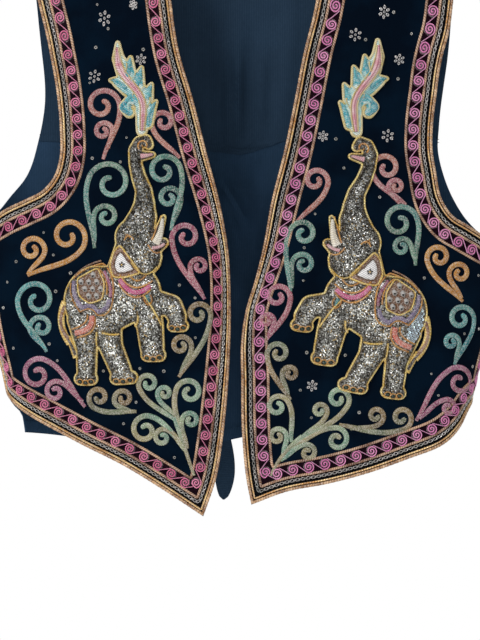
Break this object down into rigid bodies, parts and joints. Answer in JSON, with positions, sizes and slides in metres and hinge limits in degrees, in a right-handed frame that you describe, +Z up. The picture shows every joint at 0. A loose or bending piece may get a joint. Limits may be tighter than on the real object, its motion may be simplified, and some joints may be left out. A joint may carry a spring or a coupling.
{
  "type": "waistcoat",
  "caption": "Sleeveless open waistcoat in dark blue velvet with pointed fronts, embroidered borders and scrolls, padded elephants and leaf plumes, a plain seamed back and back ties.",
  "frame": {"origin": "middle of the neck opening between the two neck points, level with the top of the shoulders, where the wearer's shoulders hold the garment up", "axes": "+Z up, the wearer faces -Y, +X towards the wearer's left"},
  "size_m": [0.4844, 0.1381, 0.5698],
  "materials": {
    "velvet": "short-pile dark blue velvet",
    "lining": "plain navy lining cloth with a fine twill line",
    "gold_braid": "twisted gold-coloured cord"
  },
  "bodies": {
    "root": {"front_left": "velvet", "front_right": "velvet", "back_upper": "lining", "back_lower": "lining", "edge_braid_left": "gold_braid", "edge_braid_right": "gold_braid", "tie_left": "lining", "tie_right": "lining", "tie_knot": "lining", "tie_end_left": "lining", "tie_end_right": "lining"}
  },
  "joints": []
}
